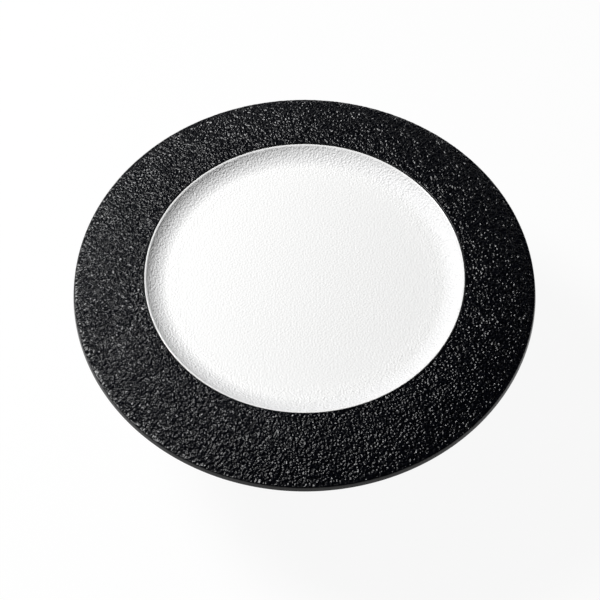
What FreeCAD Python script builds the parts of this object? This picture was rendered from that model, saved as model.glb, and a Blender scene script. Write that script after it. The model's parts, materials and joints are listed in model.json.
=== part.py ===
import FreeCAD, Part

import math
import operator
import os
from types import SimpleNamespace

import PartDesign
import Sketcher

# In ground well light. A buried sleeve carries a sealed canister with a twist-lock lamp; a dished
# lens and a wide moulded trim ring close it at the paving. Millimetres, +Z up, origin at the
# middle of the sleeve's foot.

SIZES = {
    # the trim ring
    "ring_radius": 80.0,         # outside of the trim ring
    "ring_lip_height": 2.8,      # smooth upright edge of the ring
    "ring_lip_wall": 2.5,
    "ring_rise": 5.9,            # from the outer edge up to the edge of the opening
    "crown_radius": 115.0,       # the ring's convex face, in section
    "ring_wall": 2.6,
    "brim_thickness": 3.7,       # ring at the edge of its opening
    "lip_rounding": 1.0,
    "opening_rounding": 0.35,
    "skirt_wall": 2.7,
    "skirt_depth": 12.5,         # skirt below the paving
    "rib_count": 36,
    "rib_thickness": 1.8,
    "rib_lift": 0.3,             # ribs clear the paving
    # the lens
    "lens_radius": 55.2,         # boss that shows in the ring's opening
    "lens_gap": 0.3,             # lens boss to ring
    "rim_width": 0.5,
    "dish_depth": 4.2,
    "dish_corner_radius": 10.9,
    "lens_flange_thickness": 3.1,
    "lens_lip_thickness": 0.85,  # thin outer part of the flange, over the collar
    "lens_lip_overhang": 1.0,    # lip past the collar's outside
    "lens_spigot_depth": 1.0,
    "lens_spigot_step": 2.2,
    "washer_thickness": 0.6,
    "key_width": 8.0,
    "key_depth": 1.8,            # keys past the lens flange, into the collar's slots
    "key_clearance": 0.2,
    # the lens gasket and its groove
    "groove_land": 0.8,          # lens boss to the gasket's inside
    "gasket_width": 4.6,
    "gasket_height": 2.8,
    "gasket_crest_radius": 5.0,
    "groove_depth": 1.2,
    "flange_land": 0.8,          # canister flange outside the groove
    # the collar and the quick thread
    "flange_clearance": 0.4,     # canister flange to collar
    "collar_wall": 2.4,
    "collar_depth": 15.0,        # bottom of the collar below the paving
    "collar_clearance": 0.25,    # collar top to the lens lip
    "thread_clearance": 0.3,     # collar to the ring's lugs
    "lug_height": 1.5,           # sleeve lugs, radially
    "crest_clearance": 0.4,      # sleeve lugs to the ring's skirt
    "lug_thickness": 2.4,
    "lug_gap": 0.15,             # between the faces that carry the ring
    "thread_lead": 30.0,
    "thread_starts": 3,
    "ring_lug_span": 34.0,       # degrees
    "sleeve_lug_span": 80.0,     # degrees
    "ring_lug_depth": 8.0,       # middle of the ring's lugs below the paving
    # the snap ring
    "retainer_thickness": 0.9,
    "retainer_width": 2.3,
    "retainer_groove_depth": 0.9,
    "retainer_clearance": 0.1,
    "retainer_split": 26.0,
    # the sleeve
    "sleeve_wall": 2.5,
    "drum_clearance": 2.0,       # canister to drum
    "ledge_thickness": 1.5,      # ledge that carries the canister, over the moat
    "cone_top": 37.0,
    "cone_bottom": 5.0,
    "foot_radius": 44.0,
    "foot_flange_width": 10.0,   # foot, from its outside in to its opening
    "foot_clearance": 2.9,       # lowest gland above the foot's underside
    "fin_count": 8,
    "fin_thickness": 3.0,
    "fin_height": 2.5,
    "gusset_count": 12,
    "gusset_thickness": 2.0,
    "notch_width": 16.0,
    "notch_height": 12.0,
    "notch_arch_radius": 9.0,
    "drain_count": 8,
    "drain_radius": 1.8,
    # the canister
    "canister_flange": 5.2,      # thickness of the flange
    "canister_height": 42.5,     # from the flange's underside to the bottom
    "canister_wall": 2.5,
    "canister_floor": 2.8,
    "seat_wall": 1.4,            # between the gasket groove and the reflector's seat
    "seat_depth": 2.9,
    "seat_width": 1.6,
    "holder_margin": 5.0,        # lampholder to the wall of the lower drum
    "shoulder_top": 28.0,        # above the canister's bottom
    "shoulder_bottom": 20.0,
    "web_count": 12,
    "web_thickness": 1.6,
    "web_height": 5.0,
    # the reflector
    "reflector_gap": 0.3,
    "reflector_thickness": 1.6,
    "reflector_rim": 1.2,
    "reflector_depth": 10.9,
    "reflector_curve": 22.0,
    "reflector_lamp_gap": 1.1,
    # the lamp
    "lamp_radius": 37.5,
    "lamp_disc_height": 15.5,
    "hub_clearance": 1.0,        # lamp's hub to the holder's bore
    "lamp_hub_height": 11.0,
    "lamp_wall": 1.5,
    "cover_height": 4.0,
    "cover_rounding": 1.2,
    "board_seat_drop": 4.5,      # board seat below the cover's joint
    "board_thickness": 1.5,
    "driver_seat_height": 4.0,   # above the hub's bottom
    "capacitor_radius": 4.5,
    "capacitor_height": 6.0,
    "coil_side": 8.0,
    "coil_height": 5.0,
    "flute_count": 24,
    "flute_radius": 0.9,
    "chip_count": 12,
    "chip_side": 2.8,
    "chip_height": 0.7,
    "chip_circle": 24.0,
    "pin_circle": 26.5,
    "pin_radius": 1.3,
    "pin_head_radius": 2.5,
    "pin_head_height": 1.8,
    # the lampholder
    "holder_reach": 10.5,        # from the pins' circle out to the holder's outside
    "holder_inset": 4.5,         # from the pins' circle in to the holder's bore
    "holder_height": 13.0,
    "holder_wall": 2.0,
    "holder_plate": 2.2,
    "lamp_seat_gap": 0.2,
    "lock_angle": 14.0,          # degrees from locked to free
    "keyhole_entry_radius": 3.0,
    "keyhole_slot_radius": 1.6,
    "boss_height": 11.0,
    "boss_radius": 4.5,
    "column_radius": 4.0,
    "screw_radius": 1.6,
    "screw_head_radius": 3.4,
    "screw_slot_width": 0.8,
    "screw_slot_depth": 1.1,
    "screw_engagement": 8.0,
    "screw_clearance": 0.2,
    "contact_thickness": 0.8,
    "contact_width": 6.6,
    "contact_tail": 7.0,
    "contact_reach": 5.0,        # from the pin to the tail
    "contact_gap": 0.15,
    # the connector
    "block_length": 28.0,
    "block_depth": 14.0,
    "block_height": 10.0,
    "block_clearance": 1.0,      # block to the boss behind it
    "block_well_radius": 1.8,
    "pole_spacing": 9.0,
    "wire_height": 4.2,          # wire holes above the floor
    "parting_width": 1.0,        # grooves between the poles
    "parting_depth": 2.5,
    "insert_radius": 2.2,
    "wire_hole_radius": 1.3,
    "block_screw_radius": 1.5,
    "block_screw_sink": 1.0,     # screw heads below the block's top
    "block_screw_slot": 0.5,
    "block_screw_slot_depth": 0.9,
    "lead_radius": 1.1,
    "lead_bend_radius": 5.0,
    "lead_start": 1.0,           # straight start of the leads behind the block
    # the glands
    "gland_across": 17.0,        # from the axis, along X
    "gland_back": 12.0,          # from the axis, against Y
    "gland_thread_radius": 8.0,
    "gland_hole_clearance": 0.15,
    "gland_bore": 5.6,
    "gland_hex": 19.0,           # across the flats
    "gland_hex_height": 4.5,
    "gland_washer_thickness": 1.2,
    "gland_washer_radius": 9.6,
    "locknut_height": 3.5,
    "thread_end": 1.0,           # thread past the locknut
    "gland_tail": 6.0,           # thread below the hexagon
    "gland_nut_height": 11.6,
    "gland_nut_gap": 0.6,
    "gland_nut_wall": 1.5,
    "gland_seat_radius": 6.5,    # nut's bore round the seal's shoulder
    "cable_bore": 4.0,
    "seal_height": 9.0,
    "plug_head_height": 1.2,
    # the vent plug
    "vent_place": 30.0,
    "vent_side": 14.0,
    "vent_stem_radius": 4.0,
    "vent_head_radius": 6.5,
    "vent_head_height": 3.0,
    "vent_stem_end": 1.2,        # stem past the canister's floor
    "vent_bore": 1.2,
    "vent_slot_width": 1.6,
    "vent_slot_depth": 1.2,
}

EMBED = 0.4            # how far an added web or lug runs into the wall that carries it
OVERCUT = 1.0          # overshoot of a cut past the face that it opens
VECTOR = FreeCAD.Vector
ARITHMETIC = {"+": operator.add, "-": operator.sub, "*": operator.mul, "/": operator.truediv}


class Size:
    """A number, together with the expression that works it out from the sheet."""

    def __init__(self, value, text):
        self.value = value
        self.text = text

    def __add__(self, other):
        return combine(self, "+", other)

    def __radd__(self, other):
        return combine(other, "+", self)

    def __sub__(self, other):
        return combine(self, "-", other)

    def __rsub__(self, other):
        return combine(other, "-", self)

    def __mul__(self, other):
        return combine(self, "*", other)

    def __rmul__(self, other):
        return combine(other, "*", self)

    def __truediv__(self, other):
        return combine(self, "/", other)

    def __neg__(self):
        return combine(0.0, "-", self)


def as_size(number):
    if isinstance(number, Size):
        return number
    return Size(float(number), repr(float(number)))


def combine(left, sign, right):
    left = as_size(left)
    right = as_size(right)
    value = ARITHMETIC[sign](left.value, right.value)
    return Size(value, "(%s %s %s)" % (left.text, sign, right.text))


def root(size):
    return Size(math.sqrt(size.value), "sqrt(%s)" % size.text)


def cosine(degrees):
    degrees = as_size(degrees)
    return Size(math.cos(math.radians(degrees.value)), "cos(%s)" % degrees.text)


def sine(degrees):
    degrees = as_size(degrees)
    return Size(math.sin(math.radians(degrees.value)), "sin(%s)" % degrees.text)


def polar(radius, degrees):
    """The point at this radius and angle, as a pair of sizes."""
    return (radius * cosine(degrees), radius * sine(degrees))


S = SimpleNamespace(**{name: Size(value, "Sizes." + name) for name, value in SIZES.items()})

# ---- heights, worked out from the glands at the foot up to the paving and the lens ----
NUT_BOTTOM = S.foot_clearance + S.plug_head_height
NUT_TOP = NUT_BOTTOM + S.gland_nut_height
HEX_BOTTOM = NUT_TOP + S.gland_nut_gap
WASHER_BOTTOM = HEX_BOTTOM + S.gland_hex_height
CANISTER_BOTTOM = WASHER_BOTTOM + S.gland_washer_thickness
FLOOR = CANISTER_BOTTOM + S.canister_floor
LEDGE = CANISTER_BOTTOM + S.canister_height
FLANGE_TOP = LEDGE + S.canister_flange
REFLECTOR_SEAT = FLANGE_TOP - S.seat_depth
GROOVE_BOTTOM = FLANGE_TOP - S.groove_depth
LENS_FLANGE_BOTTOM = GROOVE_BOTTOM + S.gasket_height
SPIGOT_BOTTOM = LENS_FLANGE_BOTTOM - S.lens_spigot_depth
LENS_LIP_TOP = LENS_FLANGE_BOTTOM + S.lens_flange_thickness
LENS_LIP_BOTTOM = LENS_LIP_TOP - S.lens_lip_thickness
BRIM_UNDER = LENS_LIP_TOP + S.washer_thickness
RIM_TOP = BRIM_UNDER + S.brim_thickness
LIP_TOP = RIM_TOP - S.ring_rise
PAVING = LIP_TOP - S.ring_lip_height
COLLAR_TOP = LENS_LIP_BOTTOM - S.collar_clearance
COLLAR_BOTTOM = PAVING - S.collar_depth
SKIRT_BOTTOM = PAVING - S.skirt_depth
HOLDER_BOTTOM = FLOOR + S.boss_height
HOLDER_TOP = HOLDER_BOTTOM + S.holder_height
LAMP_BOTTOM = HOLDER_TOP + S.lamp_seat_gap
COVER_JOINT = LAMP_BOTTOM + S.lamp_disc_height - S.cover_height
LAMP_FACE = LAMP_BOTTOM + S.lamp_disc_height
HUB_BOTTOM = LAMP_BOTTOM - S.lamp_hub_height

# ---- radii, worked out from the lens outwards ----
OPENING_RADIUS = S.lens_radius + S.lens_gap
GASKET_INNER = S.lens_radius + S.groove_land
GASKET_OUTER = GASKET_INNER + S.gasket_width
FLANGE_RADIUS = GASKET_OUTER + S.flange_land
COLLAR_INNER = FLANGE_RADIUS + S.flange_clearance
COLLAR_OUTER = COLLAR_INNER + S.collar_wall
RING_LUG_INNER = COLLAR_OUTER + S.thread_clearance
SLEEVE_LUG_OUTER = COLLAR_OUTER + S.lug_height
SKIRT_INNER = SLEEVE_LUG_OUTER + S.crest_clearance
SKIRT_OUTER = SKIRT_INNER + S.skirt_wall
RING_LIP_INNER = S.ring_radius - S.ring_lip_wall
LENS_LIP_RADIUS = COLLAR_OUTER + S.lens_lip_overhang
LENS_FLANGE_RADIUS = FLANGE_RADIUS - S.key_clearance
SEAT_RADIUS = GASKET_INNER - S.seat_wall
CANISTER_INNER = SEAT_RADIUS - S.seat_width
CANISTER_OUTER = CANISTER_INNER + S.canister_wall
DRUM_INNER = CANISTER_OUTER + S.drum_clearance
DRUM_OUTER = DRUM_INNER + S.sleeve_wall
HOLDER_RADIUS = S.pin_circle + S.holder_reach
HOLDER_BORE = S.pin_circle - S.holder_inset
BOSS_CIRCLE = (HOLDER_BORE + HOLDER_RADIUS) / 2
LOWER_INNER = HOLDER_RADIUS + S.holder_margin
LOWER_OUTER = LOWER_INNER + S.canister_wall
HUB_RADIUS = HOLDER_BORE - S.hub_clearance
HUB_INNER = HUB_RADIUS - S.lamp_wall

# ---- the ring's crown: an arc in section from the opening's edge to the lip ----
HALF_REACH = (S.ring_radius - OPENING_RADIUS) / 2
HALF_RISE = S.ring_rise / 2
HALF_CHORD = root(HALF_REACH * HALF_REACH + HALF_RISE * HALF_RISE)
CROWN_DROP = root(S.crown_radius * S.crown_radius - HALF_CHORD * HALF_CHORD)
CROWN_CENTRE_R = OPENING_RADIUS + HALF_REACH - CROWN_DROP * HALF_RISE / HALF_CHORD
CROWN_CENTRE_Z = LIP_TOP + HALF_RISE - CROWN_DROP * HALF_REACH / HALF_CHORD


def crown_height(radius, wall):
    """Height of the surface that lies one wall under the ring's face."""
    reach = radius - CROWN_CENTRE_R
    arm = S.crown_radius - wall
    return CROWN_CENTRE_Z + root(arm * arm - reach * reach)


# ---- drawing helpers ----

def make_sheet(document):
    """The driving dimensions, one named cell each."""
    sheet = document.addObject("Spreadsheet::Sheet", "Sizes")
    for row, (name, value) in enumerate(SIZES.items(), start=1):
        sheet.set("A%d" % row, name)
        sheet.set("B%d" % row, str(value))
        sheet.setAlias("B%d" % row, name)
    document.recompute()


def new_body(document, name, separate=False):
    """A sub-part. A group of separate solids, such as a pair of screws, sets separate."""
    body = document.addObject("PartDesign::Body", name)
    body.Label = name
    body.AllowCompound = separate
    return body


def origin_feature(body, role):
    return [item for item in body.Origin.OriginFeatures if item.Role == role][0]


def new_sketch(body, name, plane, height=None, turn=0.0):
    """An empty sketch on an origin plane, lifted along its normal and turned about the axis."""
    sketch = body.newObject("Sketcher::SketchObject", body.Label + "_" + name)
    sketch.AttachmentSupport = [(origin_feature(body, plane), "")]
    sketch.MapMode = "FlatFace"
    if turn:
        spin = FreeCAD.Rotation(VECTOR(0, 1, 0), turn)
        sketch.AttachmentOffset = FreeCAD.Placement(VECTOR(0, 0, 0), spin)
    if height is not None:
        sketch.setExpression(".AttachmentOffset.Base.z", as_size(height).text)
    return sketch


def pin_point(sketch, curve, end, spot):
    """Ties one end or centre of a curve to its place in the sketch."""
    horizontal, vertical = (as_size(spot[0]), as_size(spot[1]))
    if horizontal.value == 0.0:
        sketch.addConstraint(Sketcher.Constraint("PointOnObject", curve, end, -2))
    else:
        tie = Sketcher.Constraint("DistanceX", -1, 1, curve, end, horizontal.value)
        sketch.setExpression("Constraints[%d]" % sketch.addConstraint(tie), horizontal.text)
    if vertical.value == 0.0:
        sketch.addConstraint(Sketcher.Constraint("PointOnObject", curve, end, -1))
    else:
        tie = Sketcher.Constraint("DistanceY", -1, 1, curve, end, vertical.value)
        sketch.setExpression("Constraints[%d]" % sketch.addConstraint(tie), vertical.text)


def arc_between(start, end, radius, side):
    """The short arc between two points. Its centre is on the left for side 1, the right for -1."""
    span = end - start
    half = span.Length / 2
    across = VECTOR(-span.y, span.x, 0).normalize() * side
    centre = start + span / 2 + across * math.sqrt(radius * radius - half * half)
    first, last = (start, end) if side > 0 else (end, start)
    begin = math.atan2(first.y - centre.y, first.x - centre.x)
    finish = math.atan2(last.y - centre.y, last.x - centre.x)
    if finish < begin:
        finish += 2 * math.pi
    return Part.ArcOfCircle(Part.Circle(centre, VECTOR(0, 0, 1), radius), begin, finish)


def draw_outline(sketch, corners):
    """A closed outline. A corner is (x, y), or (x, y, radius, side) where an arc leaves it."""
    spots = [VECTOR(as_size(c[0]).value, as_size(c[1]).value, 0) for c in corners]
    curves = []
    for index, corner in enumerate(corners):
        start, end = spots[index], spots[(index + 1) % len(corners)]
        if len(corner) == 2:
            curve = sketch.addGeometry(Part.LineSegment(start, end), False)
            curves.append((curve, 1, 2))
            continue
        radius, side = as_size(corner[2]), corner[3]
        curve = sketch.addGeometry(arc_between(start, end, radius.value, side), False)
        curves.append((curve, 1, 2) if side > 0 else (curve, 2, 1))
    for index, (curve, _, tail) in enumerate(curves):
        following, head, _ = curves[(index + 1) % len(curves)]
        sketch.addConstraint(Sketcher.Constraint("Coincident", curve, tail, following, head))
    for (curve, head, _), corner in zip(curves, corners):
        pin_point(sketch, curve, head, corner)
        if len(corner) == 4:
            radius = as_size(corner[2])
            tie = Sketcher.Constraint("Radius", curve, radius.value)
            sketch.setExpression("Constraints[%d]" % sketch.addConstraint(tie), radius.text)


def draw_circle(sketch, spot, radius):
    radius = as_size(radius)
    centre = VECTOR(as_size(spot[0]).value, as_size(spot[1]).value, 0)
    circle = Part.Circle(centre, VECTOR(0, 0, 1), radius.value)
    curve = sketch.addGeometry(circle, False)
    pin_point(sketch, curve, 3, spot)
    tie = Sketcher.Constraint("Radius", curve, radius.value)
    sketch.setExpression("Constraints[%d]" % sketch.addConstraint(tie), radius.text)


def rectangle(left, right, low, high):
    return [(left, low), (right, low), (right, high), (left, high)]


def hexagon(across):
    corner = across / 2 / cosine(30)
    return [polar(corner, 60 * step) for step in range(6)]


def revolve(body, name, corners, kind="PartDesign::Revolution"):
    """A full turn of an outline in the XZ plane about the Z axis."""
    sketch = new_sketch(body, name + "_section", "XZ_Plane")
    draw_outline(sketch, corners)
    feature = body.newObject(kind, body.Label + "_" + name)
    feature.Profile = sketch
    feature.ReferenceAxis = (sketch, ["V_Axis"])
    feature.Angle = 360
    return feature


def groove(body, name, corners):
    return revolve(body, name, corners, "PartDesign::Groove")


def extrude(body, name, sketch, length, kind="PartDesign::Pad", both_ways=False):
    feature = body.newObject(kind, body.Label + "_" + name)
    feature.Profile = sketch
    if both_ways:
        feature.SideType = "Symmetric"
    feature.setExpression("Length", as_size(length).text)
    return feature


def pad(body, name, shape, low, high):
    """Adds a prism between two heights. The shape is an outline, or ((x, y), radius)."""
    sketch = new_sketch(body, name + "_outline", "XY_Plane", height=low)
    draw_shape(sketch, shape)
    return extrude(body, name, sketch, high - low)


def pocket(body, name, shape, low, high):
    """Cuts a prism between two heights, downwards from the higher one."""
    sketch = new_sketch(body, name + "_outline", "XY_Plane", height=high)
    draw_shape(sketch, shape)
    return extrude(body, name, sketch, high - low, kind="PartDesign::Pocket")


def draw_shape(sketch, shape):
    if isinstance(shape, list):
        draw_outline(sketch, shape)
    else:
        draw_circle(sketch, *shape)


def upright_web(body, name, corners, thickness, turn=0.0):
    """A plate that stands in a plane through the Z axis."""
    sketch = new_sketch(body, name + "_outline", "XZ_Plane", turn=turn)
    draw_outline(sketch, corners)
    return extrude(body, name, sketch, thickness, both_ways=True)


def repeat_round(body, features, count):
    """Repeats features evenly round the Z axis."""
    pattern = body.newObject("PartDesign::PolarPattern", features[-1].Label + "_round")
    pattern.Originals = features
    pattern.Axis = (origin_feature(body, "Z_Axis"), [""])
    pattern.Angle = 360
    pattern.setExpression("Occurrences", as_size(count).text)
    body.Tip = pattern
    return pattern


def thread_lug(body, name, inner, outer, middle, span):
    """One helical lug, centred over the X axis, repeated for each start of the thread."""
    low = middle - S.lug_thickness / 2 - S.thread_lead * span / 720
    sketch = new_sketch(body, name + "_outline", "XZ_Plane", turn=-span.value / 2)
    draw_outline(sketch, rectangle(inner, outer, low, low + S.lug_thickness))
    lug = body.newObject("PartDesign::AdditiveHelix", body.Label + "_" + name)
    lug.Profile = sketch
    lug.ReferenceAxis = (sketch, ["V_Axis"])
    lug.Mode = 1
    lug.setExpression("Pitch", S.thread_lead.text)
    lug.setExpression("Turns", (span / 360).text)
    return repeat_round(body, [lug], S.thread_starts)


def round_circles(body, name, radius, circles):
    """Rounds the circular edges of the last feature that have these (radius, height) pairs."""
    base = body.Tip
    body.Document.recompute()
    wanted = [(as_size(r).value, as_size(z).value) for r, z in circles]
    edges = []
    for number, edge in enumerate(base.Shape.Edges, start=1):
        curve = edge.Curve
        if not isinstance(curve, Part.Circle):
            continue
        if any(abs(curve.Radius - r) + abs(curve.Center.z - z) < 1e-4 for r, z in wanted):
            edges.append("Edge%d" % number)
    if len(edges) != len(wanted):
        raise ValueError("%s: %d of %d edges found" % (name, len(edges), len(wanted)))
    fillet = body.newObject("PartDesign::Fillet", body.Label + "_" + name)
    fillet.Base = (base, edges)
    fillet.setExpression("Radius", as_size(radius).text)
    return fillet


def place(body, across=None, along=None):
    """Moves a body off the axis."""
    if across is not None:
        body.setExpression(".Placement.Base.x", as_size(across).text)
    if along is not None:
        body.setExpression(".Placement.Base.y", as_size(along).text)


# ---- the trim ring and what it carries ----

RETAINER_TOP = LENS_LIP_BOTTOM - S.retainer_clearance
RETAINER_BOTTOM = RETAINER_TOP - S.retainer_thickness
RETAINER_GROOVE_RADIUS = SKIRT_INNER + S.retainer_groove_depth
RETAINER_OUTER = RETAINER_GROOVE_RADIUS - S.retainer_clearance
RING_LUG_MIDDLE = PAVING - S.ring_lug_depth
SLEEVE_LUG_MIDDLE = RING_LUG_MIDDLE + S.lug_thickness + S.lug_gap


def trim_ring(document):
    """Crowned shell with an upright lip, a threaded skirt and radial ribs underneath."""
    body = new_body(document, "trim_ring")
    groove_low = RETAINER_BOTTOM - S.retainer_clearance
    groove_high = RETAINER_TOP + S.retainer_clearance
    revolve(body, "shell", [
        (OPENING_RADIUS, RIM_TOP, S.crown_radius, -1),
        (S.ring_radius, LIP_TOP),
        (S.ring_radius, PAVING),
        (RING_LIP_INNER, PAVING),
        (RING_LIP_INNER, crown_height(RING_LIP_INNER, S.ring_wall),
         S.crown_radius - S.ring_wall, 1),
        (SKIRT_OUTER, crown_height(SKIRT_OUTER, S.ring_wall)),
        (SKIRT_OUTER, SKIRT_BOTTOM),
        (SKIRT_INNER, SKIRT_BOTTOM),
        (SKIRT_INNER, groove_low),
        (RETAINER_GROOVE_RADIUS, groove_low),
        (RETAINER_GROOVE_RADIUS, groove_high),
        (SKIRT_INNER, groove_high),
        (SKIRT_INNER, BRIM_UNDER),
        (OPENING_RADIUS, BRIM_UNDER)])
    round_circles(body, "lip_rounding", S.lip_rounding, [(S.ring_radius, LIP_TOP)])
    round_circles(body, "opening_rounding", S.opening_rounding, [(OPENING_RADIUS, RIM_TOP)])
    rib_inner = SKIRT_OUTER - EMBED
    rib_outer = RING_LIP_INNER + EMBED
    rib = upright_web(body, "rib", [
        (rib_inner, PAVING + S.rib_lift),
        (rib_outer, PAVING + S.rib_lift),
        (rib_outer, crown_height(rib_outer, S.ring_wall - EMBED)),
        (rib_inner, crown_height(rib_inner, S.ring_wall - EMBED))], S.rib_thickness)
    repeat_round(body, [rib], S.rib_count)
    thread_lug(body, "lug", RING_LUG_INNER, SKIRT_INNER + EMBED, RING_LUG_MIDDLE,
               S.ring_lug_span)
    return body


def lens_retainer(document):
    """Split snap ring in the skirt's groove, under the lens lip."""
    body = new_body(document, "lens_retainer")
    inner = RETAINER_OUTER - S.retainer_width
    revolve(body, "wire", rectangle(inner, RETAINER_OUTER, RETAINER_BOTTOM, RETAINER_TOP))
    half_split = S.retainer_split / 2
    pocket(body, "split", rectangle(inner / 2, RETAINER_OUTER + OVERCUT, -half_split, half_split),
           RETAINER_BOTTOM - OVERCUT, RETAINER_TOP + OVERCUT)
    return body


def lens(document):
    """Dished disc with a thin rim, a spigot into the gasket and two keys on its flange."""
    body = new_body(document, "lens")
    rim_inner = S.lens_radius - S.rim_width
    rise = S.dish_corner_radius - S.dish_depth
    corner_reach = root(S.dish_corner_radius * S.dish_corner_radius - rise * rise)
    dish_floor = RIM_TOP - S.dish_depth
    spigot_radius = S.lens_radius - S.lens_spigot_step
    revolve(body, "disc", [
        (0.0, SPIGOT_BOTTOM),
        (spigot_radius, SPIGOT_BOTTOM),
        (spigot_radius, LENS_FLANGE_BOTTOM),
        (LENS_FLANGE_RADIUS, LENS_FLANGE_BOTTOM),
        (LENS_FLANGE_RADIUS, LENS_LIP_BOTTOM),
        (LENS_LIP_RADIUS, LENS_LIP_BOTTOM),
        (LENS_LIP_RADIUS, LENS_LIP_TOP),
        (S.lens_radius, LENS_LIP_TOP),
        (S.lens_radius, RIM_TOP),
        (rim_inner, RIM_TOP, S.dish_corner_radius, -1),
        (rim_inner - corner_reach, dish_floor),
        (0.0, dish_floor)])
    half_width = S.key_width / 2
    key = pad(body, "key", rectangle(LENS_FLANGE_RADIUS - EMBED * 2,
                                     LENS_FLANGE_RADIUS + S.key_depth, -half_width, half_width),
              LENS_FLANGE_BOTTOM, LENS_LIP_BOTTOM + EMBED)
    repeat_round(body, [key], 2)
    return body


def slip_washer(document):
    """Thin washer that lets the ring turn on the lens."""
    body = new_body(document, "slip_washer")
    revolve(body, "ring", rectangle(GASKET_INNER, LENS_LIP_RADIUS, LENS_LIP_TOP, BRIM_UNDER))
    return body


def lens_gasket(document):
    """Rubber ring with a rounded crest, pressed by the lens flange."""
    body = new_body(document, "lens_gasket")
    crest = S.gasket_crest_radius
    half_width = S.gasket_width / 2
    shoulder = LENS_FLANGE_BOTTOM - crest + root(crest * crest - half_width * half_width)
    revolve(body, "ring", [
        (GASKET_INNER, GROOVE_BOTTOM),
        (GASKET_OUTER, GROOVE_BOTTOM),
        (GASKET_OUTER, shoulder, crest, 1),
        (GASKET_INNER, shoulder)])
    return body


# ---- the sleeve ----

def sleeve(document):
    """The well: threaded collar, drum, finned cone and an open foot with cable notches."""
    body = new_body(document, "sleeve")
    cone_inner_top = S.cone_top + S.sleeve_wall / 2
    cone_inner_bottom = S.cone_bottom + S.sleeve_wall / 2
    foot_inner = S.foot_radius - S.sleeve_wall
    foot_opening = S.foot_radius - S.foot_flange_width
    moat_top = LEDGE - S.ledge_thickness
    revolve(body, "wall", [
        (foot_opening, 0.0),
        (S.foot_radius, 0.0),
        (S.foot_radius, S.cone_bottom),
        (DRUM_OUTER, S.cone_top),
        (DRUM_OUTER, moat_top),
        (COLLAR_INNER, moat_top),
        (COLLAR_INNER, COLLAR_BOTTOM),
        (COLLAR_OUTER, COLLAR_BOTTOM),
        (COLLAR_OUTER, COLLAR_TOP),
        (COLLAR_INNER, COLLAR_TOP),
        (COLLAR_INNER, LEDGE),
        (DRUM_INNER, LEDGE),
        (DRUM_INNER, cone_inner_top),
        (foot_inner, cone_inner_bottom),
        (foot_inner, S.sleeve_wall),
        (foot_opening, S.sleeve_wall)])
    thread_lug(body, "lug", COLLAR_OUTER - EMBED, SLEEVE_LUG_OUTER, SLEEVE_LUG_MIDDLE,
               S.sleeve_lug_span)
    gusset = upright_web(body, "gusset", [
        (DRUM_OUTER - EMBED, COLLAR_BOTTOM),
        (COLLAR_INNER + EMBED, COLLAR_BOTTOM),
        (COLLAR_INNER + EMBED, moat_top + EMBED),
        (DRUM_OUTER - EMBED, moat_top + EMBED)], S.gusset_thickness)
    repeat_round(body, [gusset], S.gusset_count)
    fin_turn = 180 / S.fin_count.value
    fin = upright_web(body, "fin", [
        (S.foot_radius - EMBED, 0.0),
        (S.foot_radius + S.fin_height, S.cone_bottom),
        (DRUM_OUTER + S.fin_height, S.cone_top),
        (DRUM_OUTER + S.fin_height, COLLAR_BOTTOM - S.fin_height),
        (DRUM_OUTER - EMBED, COLLAR_BOTTOM),
        (DRUM_OUTER - EMBED, S.cone_top),
        (S.foot_radius - EMBED, S.cone_bottom)], S.fin_thickness, turn=fin_turn)
    repeat_round(body, [fin], S.fin_count)
    cut_key_slots(body)
    cut_cable_notches(body)
    drain_spot = polar((foot_opening + foot_inner) / 2, fin_turn)
    drain = pocket(body, "drain", (drain_spot, S.drain_radius), -OVERCUT, S.sleeve_wall + OVERCUT)
    repeat_round(body, [drain], S.drain_count)
    return body


def cut_key_slots(body):
    """Two slots in the collar's top for the keys of the lens."""
    half_width = S.key_width / 2 + S.key_clearance
    slot_bottom = LENS_FLANGE_BOTTOM - S.key_clearance
    outline = rectangle(COLLAR_INNER - OVERCUT, COLLAR_OUTER + OVERCUT, -half_width, half_width)
    slot = pocket(body, "key_slot", outline, slot_bottom, COLLAR_TOP + OVERCUT)
    repeat_round(body, [slot], 2)


def cut_cable_notches(body):
    """Two arched notches in the foot, one each side, for the cables."""
    sketch = new_sketch(body, "notch_outline", "YZ_Plane")
    half_width = S.notch_width / 2
    arch = S.notch_arch_radius
    spring_line = S.notch_height - arch + root(arch * arch - half_width * half_width)
    draw_outline(sketch, [
        (-half_width, -OVERCUT),
        (half_width, -OVERCUT),
        (half_width, spring_line, arch, 1),
        (-half_width, spring_line)])
    through = (DRUM_OUTER + S.fin_height) * 2
    extrude(body, "notch", sketch, through, kind="PartDesign::Pocket", both_ways=True)


# ---- the canister and the reflector ----

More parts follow.
